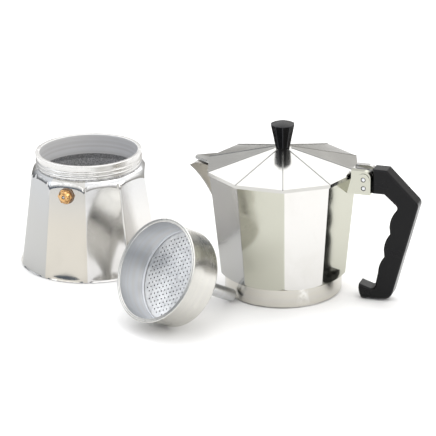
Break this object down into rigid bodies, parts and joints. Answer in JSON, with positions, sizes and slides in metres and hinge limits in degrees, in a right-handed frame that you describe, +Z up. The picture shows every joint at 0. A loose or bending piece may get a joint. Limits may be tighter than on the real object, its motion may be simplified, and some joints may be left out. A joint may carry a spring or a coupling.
{
  "type": "moka pot",
  "caption": "Ten-sided aluminium stovetop coffee maker taken apart: boiler with safety valve, funnel, and pot with hinged lid, spout and black side handle.",
  "frame": {"origin": "centre of the boiler's flat base, on the surface that all the pieces rest on", "axes": "+Z up; +X from the boiler towards the pot; the funnel lies on the -Y side, tilted on its stem"},
  "size_m": [0.297, 0.2197, 0.1275],
  "materials": {
    "aluminium_body": "machine polished, soft sheen",
    "aluminium_sheet": "satin spun sheet",
    "valve_brass": "polished",
    "steel_trim": "bright",
    "valve_fibre": "matte fibre",
    "gasket_rubber": "matte silicone",
    "black_plastic": "satin moulded, heat resistant"
  },
  "bodies": {
    "boiler_set": {"boiler": "aluminium_body", "valve_body": "valve_brass", "valve_washer": "valve_fibre", "valve_seat_ring": "valve_brass", "valve_spring": "steel_trim"},
    "valve_plunger": {"valve_stem": "steel_trim"},
    "funnel_set": {"funnel_cup": "aluminium_sheet", "funnel_stem": "aluminium_sheet", "funnel_sieve": "aluminium_sheet"},
    "pot_set": {"pot_body": "aluminium_body", "column": "aluminium_body", "gasket": "gasket_rubber", "filter_plate": "aluminium_sheet", "hinge_pin": "steel_trim", "handle_pin": "steel_trim", "handle": "black_plastic"},
    "lid_set": {"lid": "aluminium_body", "lid_knob": "black_plastic", "knob_insert": "valve_brass", "knob_washer": "steel_trim", "knob_screw": "steel_trim"}
  },
  "joints": [
    {"name": "lid_hinge", "type": "hinge", "parent": "pot_set", "child": "lid_set", "pos_m": [0.20494, -0.07911, 0.0918], "axis": [0.309, 0.9511, 0], "range_deg": [0, 100]},
    {"name": "valve_release", "type": "slide", "parent": "boiler_set", "child": "valve_plunger", "axis": [-0.3057, -0.9408, 0.1464], "range_m": [0, 0.0015], "stiffness_N_per_m": 400, "springref_m": -0.0005, "deforming": ["valve_spring"]},
    {"name": "pot_lift", "type": "slide", "parent": "boiler_set", "child": "pot_set", "axis": [0, 0, 1], "range_m": [0, 0.12]},
    {"name": "funnel_lift", "type": "slide", "parent": "boiler_set", "child": "funnel_set", "axis": [-0.6463, -0.5881, 0.4863], "range_m": [0, 0.12]}
  ]
}
